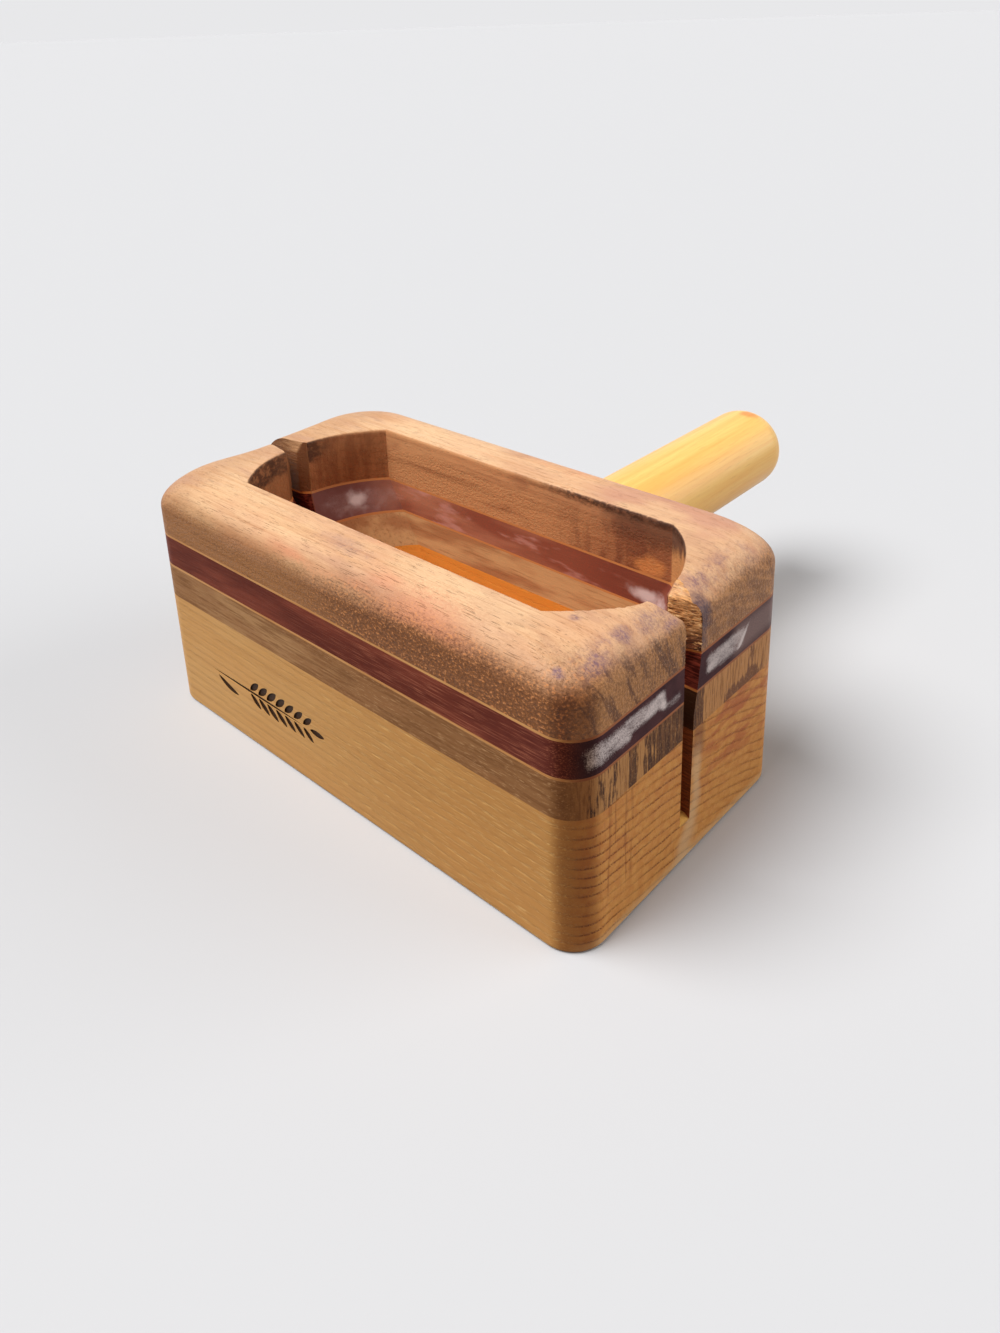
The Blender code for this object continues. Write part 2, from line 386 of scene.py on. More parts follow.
def pocket_ring(grown, z, steps=40):
    """The pocket's outline at one height, grown outwards by a length."""
    growth = (1 + grown / POCKET_HALF_LENGTH, 1 + grown / POCKET_HALF_WIDTH)
    ring = []
    for end in (1, -1):
        for step in range(steps + 1):
            across = POCKET_HALF_WIDTH * (2 * step / steps - 1) * end
            x = arc_x(end, POCKET_Y + across, z) - POCKET_X
            ring.append((POCKET_X + x * growth[0], POCKET_Y + across * growth[1], z))
    return ring


def slot_cutter(steps=40, height_steps=8):
    rings = []
    top = BASE_TOP + CUTTER_OVERRUN
    places = [-HALF_X - CUTTER_OVERRUN, -HALF_X]
    places += [-HALF_X + SLOT_LIP + 2 * (HALF_X - SLOT_LIP) * step / steps for step in range(steps + 1)]
    places += [HALF_X, HALF_X + CUTTER_OVERRUN]
    for x in places:
        inside = max(-HALF_X, min(HALF_X, x))
        low = SLOT_FLOOR - SLOT_LIP_FALL * max(0.0, abs(inside) - HALF_X + SLOT_LIP)
        heights = [low + (top - low) * step / height_steps for step in range(height_steps + 1)]
        ring = [(x, slot_y(1, inside, z), z) for z in heights]
        ring += [(x, slot_y(-1, inside, z), z) for z in reversed(heights)]
        rings.append(ring)
    return loft("slot_cutter", rings)


def subtract(obj, *tools):
    """Cuts each tool out of an object."""
    for tool in tools:
        modifier = obj.modifiers.new("cut", "BOOLEAN")
        modifier.operation = "DIFFERENCE"
        modifier.solver = "EXACT"
        modifier.object = tool
        settle(obj)
        obj.data.shade_smooth()
        obj.data.set_sharp_from_angle(angle=SHARP_ANGLE)


def settle(obj):
    """Applies the object's modifiers to its mesh."""
    graph = bpy.context.evaluated_depsgraph_get()
    mesh = bpy.data.meshes.new_from_object(obj.evaluated_get(graph))
    old = obj.data
    obj.modifiers.clear()
    obj.data = mesh
    mesh.name = obj.name
    bpy.data.meshes.remove(old)


def base_piece(foot_steps=6, floor_steps=5):
    rings = []
    for aside, rise in quarter(foot_steps):
        inset = FOOT_ROUND * aside
        rings.append(outline(inset, CORNER_RADIUS - inset, FOOT_ROUND * rise))
    rings.append(outline(0.0, CORNER_RADIUS, BASE_TOP))
    base = loft("base_wood", rings)
    rings = []
    for aside, rise in quarter(floor_steps):
        rings.append(pocket_ring(-POCKET_FLOOR_ROUND * aside, POCKET_FLOOR + POCKET_FLOOR_ROUND * rise))
    rings.append(pocket_ring(0.0, BASE_TOP + CUTTER_OVERRUN))
    tools = (loft("pocket_cutter", rings), slot_cutter(), ear_cutter())
    subtract(base, *tools)
    for tool in tools:
        bpy.data.objects.remove(tool)
    normals = base.modifiers.new("normals", "WEIGHTED_NORMAL")
    normals.keep_sharp = True
    settle(base)
    return base


# A small ear of wheat, burnt into the base's front: its middle height and its depth. Each of its parts
# is an oval: X of its middle, its height off the ear's middle, length, width, tilt and bend.
EAR_Z = 18.5
EAR_DEPTH = 0.45
EAR_STALK = (-36.5, 0, 45, 0.9, 0, 0)
EAR_LEAF = (-50.8, -2.8, 10.5, 2.1, -17, -0.6)
EAR_TIP = (-8.4, 0, 6.2, 2.1, 0, 0)
# Its kernels, here without their X, come in pairs, which grow smaller either way from the largest one
EAR_KERNEL = (2.7, 6.4, 2.3, 40, 0)
EAR_PAIRS = 7
EAR_FIRST_PAIR = -37
EAR_PITCH = 4.1
LARGEST_PAIR = 2
PAIR_SHRINK = 0.04


def pointed_oval(x, rise_off, length, width, tilt, bend, steps=28):
    """Outline on the front face, with a point at both ends."""
    cosine, sine = math.cos(math.radians(tilt)), math.sin(math.radians(tilt))
    z = EAR_Z + rise_off
    ring = []
    for step in range(steps):
        angle = 2 * math.pi * step / steps
        run = length / 2 * math.cos(angle)
        rise = width / 2 * math.sin(angle) * abs(math.sin(angle)) ** 0.4
        rise += bend * (1 - math.cos(angle) ** 2)
        ring.append((x + run * cosine - rise * sine, z + run * sine + rise * cosine))
    return ring


def ear_cutter():
    parts = [EAR_STALK, EAR_LEAF]
    rise_off, length, width, tilt, bend = EAR_KERNEL
    for pair in range(EAR_PAIRS):
        x = EAR_FIRST_PAIR + EAR_PITCH * pair
        full = 1 - PAIR_SHRINK * abs(pair - LARGEST_PAIR)
        for way in (-1, 1):
            parts.append((x, way * full * rise_off, full * length, full * width, way * tilt, bend))
    parts.append(EAR_TIP)
    points = []
    faces = []
    for part in parts:
        ring = pointed_oval(*part)
        low, count = len(points), len(ring)
        for y in (-HALF_Y - CUTTER_OVERRUN, -HALF_Y + EAR_DEPTH):
            points += [(x, y, z) for x, z in ring]
        faces += bands(low, low + 2 * count, count)
        faces.append(tuple(range(low, low + count)))
        faces.append(tuple(range(low + count, low + 2 * count)))
    return mesh_object("ear_cutter", points, faces)


# Handle

HANDLE_X = (HANDLE_LOW[0] + HANDLE_HIGH[0]) / 2
HANDLE_Z = (HANDLE_LOW[2] + HANDLE_HIGH[2]) / 2
HANDLE_RADIUS = (HANDLE_HIGH[0] - HANDLE_LOW[0]) / 2
HANDLE_END_ROUND = 12.5
HANDLE_CHAMFER = 0.6
BORE_CLEARANCE = 0.05
BORE_END_CLEARANCE = 0.3


def turned(name, table, steps=96):
    """A solid of revolution round the handle's axis, from pairs of radius and Y."""
    rings = []
    for radius, y in table:
        angles = [2 * math.pi * step / steps for step in range(steps)]
        rings.append([(HANDLE_X + radius * math.cos(a), y, HANDLE_Z + radius * math.sin(a)) for a in angles])
    return loft(name, rings)


def handle_piece(shaft_steps=40, round_steps=23):
    start = HANDLE_LOW[1] + HANDLE_CHAMFER
    end = HANDLE_HIGH[1] - HANDLE_END_ROUND
    table = [(HANDLE_RADIUS - HANDLE_CHAMFER, HANDLE_LOW[1])]
    table += [(HANDLE_RADIUS, start + (end - start) * step / shaft_steps) for step in range(shaft_steps)]
    for aside, rise in quarter(round_steps):
        table.append((HANDLE_RADIUS - HANDLE_END_ROUND * rise, HANDLE_HIGH[1] - HANDLE_END_ROUND * aside))
    return turned("handle_wood", table)


def bore_cutter():
    radius = HANDLE_RADIUS + BORE_CLEARANCE
    ends = (HANDLE_LOW[1] - BORE_END_CLEARANCE, HALF_Y + CUTTER_OVERRUN)
    return turned("bore_cutter", [(radius, y) for y in ends])


# Materials

def srgb(*values):
    """A linear colour from 0 to 255 values."""
    linear = [v / 255 / 12.92 if v <= 10 else ((v / 255 + 0.055) / 1.055) ** 2.4 for v in values]
    return (*linear, 1.0)


# Painted shade on the front corner, where the light falls off: what its colour is multiplied by, as a linear
# colour, and how much of it shows
CORNER_SHADE = (0.52, 0.39, 0.29, 1.0)
CORNER_SHADE_SHARE = 0.9


class Wood:
    """A material, with short calls for its procedural nodes. Lengths are in millimetres."""

    def __init__(self, name, specular):
        self.material = bpy.data.materials.new(name)
        self.material.use_nodes = True
        self.tree = self.material.node_tree
        self.shader = self.tree.nodes["Principled BSDF"]
        self.shader.inputs["Specular IOR Level"].default_value = specular
        coordinates = self.tree.nodes.new("ShaderNodeTexCoord")
        self.point = self.scaled(coordinates.outputs["Object"], (1000, 1000, 1000))
        self.x, self.y, self.z = self.parts(self.point)
        normal = self.parts(coordinates.outputs["Normal"])
        self.end_grain = self.fade(self.math("ABSOLUTE", normal[0]), 0.45, 0.9)
        self.sideways = self.fade(self.math("ABSOLUTE", normal[1]), 0.35, 0.75)
        self.upward = self.fade(normal[2], 0.12, 0.45)
        facing = self.times(normal[0], normal[1], -1.0)
        self.corner = self.times(self.fade(facing, 0.08, 0.45), self.fade(self.x, 60.0, 70.0))
        self.off_pocket = self.distance_off_pocket()
        self.kit = (self.fade, self.mix, self.noise, self.plus, self.times, self.x, self.y, self.z)

    def node(self, kind, values, **settings):
        made = self.tree.nodes.new("ShaderNode" + kind)
        for key, value in settings.items():
            setattr(made, key, value)
        for key, value in values.items():
            if isinstance(value, bpy.types.NodeSocket):
                self.tree.links.new(value, made.inputs[key])
            else:
                made.inputs[key].default_value = value
        return made

    def math(self, operation, *values):
        return self.node("Math", dict(enumerate(values)), operation=operation).outputs[0]

    def joined(self, operation, first, *others):
        for value in others:
            first = self.math(operation, first, value)
        return first

    def times(self, *values):
        return self.joined("MULTIPLY", *values)

    def plus(self, *values):
        return self.joined("ADD", *values)

    def largest(self, *values):
        return self.joined("MAXIMUM", *values)

    def parts(self, vector):
        return self.node("SeparateXYZ", {0: vector}).outputs

    def vector(self, x, y, z):
        return self.node("CombineXYZ", {0: x, 1: y, 2: z}).outputs[0]

    def scaled(self, point, scale):
        return self.node("VectorMath", {0: point, 1: scale}, operation="MULTIPLY").outputs[0]

    def noise(self, scale, detail=3.0, roughness=0.6, shift=0.0, point=None):
        """A cloudy pattern, with so many waves to a millimetre along each axis."""
        moved = self.scaled(point or self.point, scale)
        if shift:
            moved = self.node("VectorMath", {0: moved, 1: (shift, shift, shift)}, operation="ADD").outputs[0]
        values = {"Vector": moved, "Scale": 1.0, "Detail": detail, "Roughness": roughness}
        return self.node("TexNoise", values).outputs[0]

    def fade(self, value, low, high, start=0.0, end=1.0):
        """Turns smoothly from start to end while a value goes from low to high."""
        values = {"Value": value, "From Min": low, "From Max": high, "To Min": start, "To Max": end}
        return self.node("MapRange", values, interpolation_type="SMOOTHSTEP").outputs[0]

    def mix(self, share, under, over, most=1.0):
        """Lays a colour over another, each a socket or three values from 0 to 255."""
        if most < 1.0:
            share = self.times(share, most)
        under, over = [srgb(*colour) if isinstance(colour, tuple) else colour for colour in (under, over)]
        return self.node("Mix", {0: share, 6: under, 7: over}, data_type="RGBA").outputs[2]

    def between(self, value, start, stop, soft):
        """1 from start to stop, with soft edges."""
        rise = self.fade(value, start - soft, start + soft)
        return self.times(rise, self.fade(value, stop + soft, stop - soft))

    def spot(self, centre, radii, edge=0.5):
        """1 inside an ellipsoid, and 0 outside it, with a soft and uneven edge."""
        away = self.node("VectorMath", {0: self.point, 1: centre}, operation="SUBTRACT").outputs[0]
        away = self.scaled(away, tuple(1 / radius for radius in radii))
        length = self.node("VectorMath", {0: away}, operation="LENGTH").outputs["Value"]
        uneven = self.times(self.plus(self.noise((0.25, 0.25, 0.25), roughness=0.5), -0.5), 1.2)
        return self.fade(self.plus(length, uneven), 1.0, 1.0 - edge)

    def distance_off_pocket(self):
        """How far a point lies outside the pocket's outline at its own height."""
        across = self.math("ABSOLUTE", self.plus(self.y, -POCKET_Y))
        depth = self.largest(self.plus(self.times(self.z, -1.0), CAP_BOTTOM), 0.0)
        most = self.plus(across, -POCKET_HALF_WIDTH)
        for end, radius in BOW_RADII.items():
            past = radius - POCKET_HALF_LENGTH - end * POCKET_X
            run = self.largest(self.plus(self.times(self.x, end), self.times(depth, END_SLOPE), past), 0.0)
            reach = self.math("SQRT", self.plus(self.times(run, run), self.times(across, across)))
            most = self.largest(most, self.plus(reach, -radius))
        return most

    def pocket(self, near=0.2, far=0.6):
        """1 on the pocket's walls and floor, fading to 0 from near to far outside the pocket's outline."""
        return self.fade(self.off_pocket, far, near)

    def slot(self):
        """1 on the slot's walls."""
        near = self.fade(self.math("ABSOLUTE", self.plus(self.y, -POCKET_Y)), 11.0, 10.0)
        return self.times(self.fade(self.off_pocket, 0.1, 0.6), near, self.sideways)

    def patch(self, low, high, soft):
        """1 inside a box between two corners, with soft edges. None, or no X at all, leaves an axis out."""
        axes = zip((self.x, self.y, self.z)[-len(low):], low, high)
        return self.times(*[self.between(*axis, soft) for axis in axes if axis[1] is not None])

    def rings(self, centre_y, centre_z, spacing, wobble=2.0, slope=0.0):
        """0 to 1 across each growth ring, round a line along X."""
        across = self.math("POWER", self.plus(self.y, -centre_y), 2.0)
        up = self.math("POWER", self.plus(self.z, -centre_z), 2.0)
        radius = self.math("SQRT", self.plus(across, up))
        drift = self.times(self.noise((0.006, 0.05, 0.05), 2.0, 0.5, shift=3.0), 2 * wobble)
        radius = self.plus(radius, drift, self.times(self.x, slope))
        return self.math("FRACT", self.times(radius, 1 / spacing))

    def finish(self, colour, roughness, height, distance):
        """Darkens the front corner with painted shade, and joins colour, roughness and a height to the
        shader.
        """
        # The front corner's painted shade, multiplied into the colour
        worn = {0: self.times(self.corner, CORNER_SHADE_SHARE), 6: colour, 7: CORNER_SHADE}
        colour = self.node("Mix", worn, data_type="RGBA", blend_type="MULTIPLY").outputs[2]
        self.tree.links.new(colour, self.shader.inputs["Base Color"])
        self.tree.links.new(roughness, self.shader.inputs["Roughness"])
        bump = self.node("Bump", {"Strength": 1.0, "Distance": distance * 0.001, "Height": height})
        self.tree.links.new(bump.outputs[0], self.shader.inputs["Normal"])
        return self.material


def base_material():
    wood = Wood("base_wood", 0.1)
    fade, mix, noise, plus, times, x, y, z = wood.kit
    ring = wood.rings(-60, -260, 2.7, 1.6, slope=0.03)
    early = times(fade(ring, 0, 0.15), fade(ring, 0.55, 0.25))
    pore_noise = noise((0.22, 2.7, 2.7), 2)
    pores = times(fade(pore_noise, 0.5, 0.6), early)
    streak = noise((0.012, 0.45, 0.45), 4)
    wide = noise((0.02, 0.05, 0.05), 2, 0.5, shift=4)
    fine = noise((0.12, 4.5, 4.5))
    right = fade(x, -60, 60)
    side = mix(right, (218, 166, 102), (194, 139, 77))
    side = mix(fade(wide, 0.35, 0.65), side, (214, 152, 84), 0.35)
    side = mix(fade(streak, 0.45, 0.75), side, (182, 128, 70), 0.45)
    side = mix(early, side, (160, 104, 52), 0.16)
    # Pale dashes along the grain on the sides: painted glints, light caught by the pores
    thin = fade(noise((0.16, 4.6, 4.6), 2, shift=31), 0.6, 0.68)
    dashes = times(plus(times(pores, 0.4), times(thin, 0.5)), fade(x, -40, 20, 0.3, 1))
    side = mix(dashes, side, (240, 194, 124))
    rear = fade(y, 0, 14)
    end = mix(fade(streak, 0.35, 0.65), (214, 150, 80), (202, 133, 68))
    red = fade(noise((0.02, 0.09, 0.28), shift=4), 0.42, 0.6)
    red = times(red, fade(rear, 0, 1, 0.2, 0.75), fade(z, 10, 24))
    end = mix(red, end, (176, 92, 54))
    ray = times(fade(noise((0.3, 0.9, 0.05), 2, 0.5, shift=17), 0.56, 0.68), 0.4)
    end = mix(times(ray, wood.patch((-40, 12), (-24, 40), 3)), end, (128, 64, 32))
    line = times(fade(ring, 0, 0.1), fade(ring, 0.34, 0.16))
    line = times(line, fade(pore_noise, 0.36, 0.56, 0.15, 1))
    faint = fade(noise((0.02, 0.06, 0.16), 2, 0.5, shift=27), 0.35, 0.6, 0.25, 1)
    end = mix(times(line, faint, fade(rear, 0, 1, 0.85, 0.5)), end, (112, 52, 24))
    end = mix(wood.patch((0.4, 29), (5.6, 38), 1.4), end, (108, 56, 38), 0.6)
    # A pale line along the foot: a worn edge with a painted highlight
    edge = times(fade(z, 3.6, 1.2), fade(fine, 0.35, 0.6, 0.3, 0.7))
    end = mix(edge, end, (226, 182, 130))
    # A pale streak beside the slot, which runs down to the foot of the right end: a painted highlight, light
    # reflected on the end face
    drift = times(plus(noise((0.1, 0.1, 0.14), roughness=0.5), -0.5), 5)
    middle = plus(y, drift, fade(z, 16, 0, -2.6, 2.4))
    across = wood.math("DIVIDE", wood.math("ABSOLUTE", middle), fade(z, 14, 2, 2.9, 5.6))
    highlight_streak = times(fade(across, 1.15, 0.1), fade(z, 36, 26), fade(x, 60, 70))
    end = mix(highlight_streak, end, (218, 180, 136), 0.62)
    colour = mix(wood.end_grain, side, end)
    # Inside the pocket a lighter, glowing orange: painted light
    colour = mix(wood.pocket(), colour, (234, 148, 56), 0.85)
    # The slot's walls: a sawn texture in dark browns, painted shade deep in the slot
    sawn = fade(noise((0.2, 1, 1.8), 4, 0.65, shift=19), 0.4, 0.62)
    colour = mix(wood.slot(), colour, mix(sawn, (112, 48, 28), (168, 84, 42)), 0.9)
    floor_light = wood.between(z, SLOT_FLOOR - 1, SLOT_FLOOR + 0.6, 0.2)
    inside_slot = wood.between(y, -4.6, 0.5, 0.2)
    colour = mix(times(floor_light, inside_slot, wood.upward, 0.95), colour, (255, 190, 96))
    colour = mix(fade(fine, 0.45, 0.8), colour, (146, 92, 46), 0.22)
    burnt = times(fade(y, 0.06 - HALF_Y, 0.16 - HALF_Y), fade(y, 1.4 - HALF_Y, 1 - HALF_Y))
    burnt = times(burnt, wood.patch((-62, None, 8), (-2, None, 30), 0.5))
    char = mix(noise((0.8, 0.8, 0.8), 4, 0.7), (44, 30, 22), (78, 52, 34))
    colour = mix(burnt, colour, char)
    height = plus(times(pores, -1), times(fine, 0.6), times(ring, 0.1))
    roughness = fade(pore_noise, 0.3, 0.7, 0.38, 0.52)
    return wood.finish(colour, roughness, height, 0.07)


# Centres and radii of the cap's mauve stains, which lie along its right end
STAINS = (
    ((80, -33.5, 72.5), (5.5, 6, 5)),
    ((74.5, -41, 73), (2.2, 1.8, 2.4)),
    ((78, -22.5, 74.5), (3.5, 5, 3)),
    ((79.5, -15, 73.5), (2.8, 4.5, 2.8)),
    ((81.5, -8.5, 71), (3.2, 5, 3.8)),
    ((67.5, -26.4, 75), (2.2, 2, 3)),
    ((77.5, 8, 74), (5, 6, 3.5)),
)


def walnut_cap_material():
    wood = Wood("walnut_cap_wood", 0.2)
    fade, mix, noise, plus, times, x, y, z = wood.kit
    wide = noise((0.016, 0.05, 0.05), 3, 0.55)
    blotch = noise((0.035, 0.06, 0.06), 3, 0.5, shift=8)
    streak = noise((0.02, 0.6, 0.6), 5)
    fine = noise((0.3, 4, 4), 3, 0.65)
    grit = noise((1.1, 1.5, 1.5), 3, 0.7, shift=5)
    pores = fade(noise((0.2, 4.2, 4.2), 1.5, 0.5, shift=11), 0.64, 0.72)
    right = fade(plus(x, times(wide, 30)), -10, 40)
    front = fade(y, -20, -36)
    # The top is pale, and turns brown down the rounded edge, lower on the left than on the right
    level = plus(z, times(plus(blotch, -0.5), 9), times(right, front, -2.5))
    top = mix(fade(blotch, 0.38, 0.62), (229, 185, 140), (218, 168, 128))
    top = mix(fade(streak, 0.44, 0.72), top, (196, 140, 96), 0.6)
    # Darker towards the top's left end: a mottled tone, partly painted shadow
    top = mix(fade(x, -58, -70), top, (196, 148, 108), 0.6)
    smoky = fade(noise((0.035, 0.11, 0.11), 4, shift=51), 0.48, 0.64)
    top = mix(smoky, top, (182, 132, 104), 0.5)
    pale = wood.patch((24, -40, None), (60, -28, None), 7)
    pale = wood.largest(pale, wood.patch((-54, 27, None), (-8, 42, None), 7))
    top = mix(pale, top, (240, 200, 156), 0.55)
    long_lines = fade(noise((0.05, 3.6, 3.6), 3, 0.65, shift=33), 0.56, 0.68)
    top = mix(long_lines, top, (168, 112, 76), 0.5)
    face = mix(right, (163, 108, 58), (134, 82, 42))
    face = mix(fade(streak, 0.4, 0.75), face, (112, 68, 38), 0.6)
    level = plus(level, times(plus(grit, -0.5), fade(right, 0, 1, 3, 5)))
    colour = mix(fade(level, 64.5, 74), face, top)
    pink = times(fade(level, 69, 72), fade(level, 76.5, 73.5), fade(wide, 0.4, 0.55))
    pink = times(pink, wood.between(x, -24, 28, 12), 0.6)
    flush = times(wood.between(x, 24, 48, 12), fade(y, -32, -38))
    flush = times(flush, fade(level, 65.5, 68.5), fade(level, 74, 70.5))
    pink = wood.largest(pink, times(flush, 0.65))
    colour = mix(pink, colour, (218, 140, 104))
    brown = times(wood.patch((-84, -50, 66), (-16, -35, 71), 2.5), fade(blotch, 0.36, 0.6))
    colour = mix(brown, colour, (150, 92, 48), 0.55)
    rosy = times(wood.patch((30, 22, 71), (95, 60, 80), 8), fade(blotch, 0.38, 0.58, 0.3, 0.9))
    colour = mix(rosy, colour, (198, 142, 118))
    colour = mix(wood.spot((-80, 15, 73.5), (5, 12, 4.5), 0.9), colour, (156, 88, 62), 0.6)
    low = fade(level, 73.5, 69)
    # On the lower cap: painted shade in the grit's dents, and painted glints on its bumps
    dents = times(fade(grit, 0.5, 0.36), fade(level, 72, 66), fade(right, 0, 1, 0.15, 0.55))
    colour = mix(dents, colour, (84, 48, 26))
    grit_glints = times(fade(grit, 0.53, 0.66), low, fade(right, 0.1, 0.8, 0.2, 0.85))
    colour = mix(grit_glints, colour, (222, 146, 88))
    colour = mix(times(pores, fade(right, 0, 1, 0.12, 0.3)), colour, (104, 60, 38))
    mauve = times(wood.spot((0, -36, 75.5), (14, 4, 4), 0.9), 0.4)
    for centre, radii in STAINS:
        mauve = wood.largest(mauve, times(wood.spot(centre, radii, 0.8), 0.85))
    smear = fade(noise((0.13, 0.13, 0.13), 4, 0.65, shift=61), 0.45, 0.6, 0.1, 0.7)
    mauve = wood.largest(mauve, times(smear, wood.patch((75, -38, 71.5), (84, 30, 75.6), 2.5)))
    mauve = times(mauve, fade(grit, 0.35, 0.6, 1, 0.45))
    colour = mix(mauve, colour, (118, 88, 104))
    # End grain: brown with slanting dark figure and short upright streaks towards the slot
    leaning = plus(y, times(z, 0.45))
    standing = plus(z, times(y, -0.45))
    slanted = wood.vector(times(x, 0.1), leaning, standing)
    figure = noise((1, 0.24, 0.035), 4, shift=2, point=slanted)
    rear = fade(y, -2, 3)
    upright = noise((0.3, 1.8, 0.22), shift=6)
    by_slot = wood.between(y, -22, 8, 5)
    dark = times(fade(figure, 0.47, 0.58), fade(rear, 0, 1, 0.9, 0.4))
    end = mix(rear, (184, 128, 78), (196, 138, 86))
    end = mix(dark, end, (98, 60, 38))
    arcs = wood.rings(-3, 0, 3.3, 2.5)
    arcs = times(fade(arcs, 0, 0.6), fade(arcs, 1, 0.8), rear, 0.5)
    end = mix(arcs, end, (130, 84, 54))
    end = mix(times(fade(upright, 0.52, 0.62), by_slot, 0.7), end, (80, 50, 38))
    end = mix(fade(grit, 0.52, 0.4), end, (86, 52, 32), 0.35)
    end = mix(fade(grit, 0.52, 0.66), end, (206, 150, 100), 0.6)
    below = fade(level, 74, 68)
    colour = mix(times(wood.end_grain, below, 0.85), colour, end)
    smudge = times(wood.spot((82.5, 3.4, 68), (8, 4.8, 10.5), 0.7), fade(grit, 0.35, 0.6, 1, 0.75))
    colour = mix(smudge, colour, (86, 62, 68))
    # Inside the pocket: warmer and lighter than outside, which is painted light, with painted shade towards
    # the right and a dark worn rim on the right of the rear side
    inside = wood.pocket(0.15, 0.5)
    shade = fade(plus(x, times(blotch, 30)), 20, 70)
    wall = mix(shade, (212, 151, 101), (160, 100, 68))
    wall = mix(fade(streak, 0.44, 0.72), wall, (150, 92, 56), 0.6)
    wall = mix(fade(blotch, 0.52, 0.66), wall, (140, 80, 54), 0.5)
    upright_patch = noise((0.1, 0.1, 0.03), shift=45)
    wall = mix(times(fade(upright_patch, 0.46, 0.56, 0, 0.75), shade), wall, (112, 58, 44))
    # A painted shadow high on the rear wall, and a painted pool of light below it
    wall = mix(wood.spot((54, 25.5, 73), (26, 8, 9), 0.8), wall, (96, 56, 42), 0.8)
    wall = mix(wood.spot((52, 25.5, 61), (9, 6, 4), 0.8), wall, (230, 150, 86), 0.8)
    soft_upright = noise((0.2, 0.35, 0.05), shift=35)
    wall = mix(times(fade(soft_upright, 0.42, 0.6), wood.end_grain, 0.5), wall, (104, 64, 42))
    wall = mix(times(fade(y, -2, -6), fade(x, -40, -50)), wall, (190, 142, 94), 0.6)
    wall = mix(wood.end_grain, wall, (142, 86, 52), 0.6)
    ragged = plus(z, times(plus(soft_upright, -0.5), 9), times(y, 0.6))
    arc = mix(fade(ragged, 81, 85.5), (222, 160, 102), (88, 62, 52))
    wall = mix(times(fade(x, 58.7, 59.4), fade(y, 3, 7)), wall, arc, 0.85)
    colour = mix(inside, colour, wall, 0.9)
    worn = plus(z, times(noise((0.4, 0.4, 0.8), 4, 0.7), 4))
    at_left = times(fade(x, -50, -56), fade(y, 14, 3))
    rim_place = wood.largest(times(fade(x, 0, 30), fade(y, 5, 18)), at_left)
    rim = times(fade(plus(worn, times(at_left, 5)), 74.4, 76.8), inside, rim_place)
    gaps = fade(noise((0.35, 0.35, 0.5), 3, 0.7, shift=41), 0.36, 0.58, 0.35, 0.9)
    colour = mix(times(rim, gaps), colour, (62, 38, 28))
    # The slot's walls: torn fibres, in a painted shade of brown in the depth, and painted light where the
    # chamfer catches the light
    fibre = noise((0.22, 1.3, 2.2), 5, 0.7, shift=13)
    at_right = fade(x, -10, 10)
    sawn = mix(fade(fibre, 0.4, 0.62), (76, 38, 22), (158, 90, 52))
    sawn = mix(at_right, (142, 92, 56), sawn)
    torn = mix(fade(fibre, 0.36, 0.48), (116, 64, 34), (240, 174, 110))
    torn = mix(fade(fibre, 0.5, 0.64), torn, (255, 214, 156))
    torn = mix(at_right, (200, 150, 104), torn)
    lit = wood.largest(wood.upward, times(fade(z, 60, 67), at_right))
    wall = mix(lit, sawn, torn)
    colour = mix(times(wood.slot(), fade(inside, 1, 0.4)), colour, wall)
    colour = mix(fade(fine, 0.48, 0.75), colour, (140, 92, 60), 0.25)
    height = plus(times(pores, -0.7), times(fine, 0.5), times(grit, low, 2.4))
    height = plus(height, times(fibre, wood.slot(), 4))
    roughness = fade(streak, 0.3, 0.7, 0.4, 0.56)
    return wood.finish(colour, roughness, height, 0.14)


# Near-black patches on the walnut band's ends: weight, lowest and highest Y, softness
BAND_PATCHES = (
    (1, -26.5, -23, 1),
    (0.75, -21, -12, 1.5),
    (1, -14, -2, 2),
    (1, -1, 5, 1.6),
    (0.55, -40, -30, 2),
)


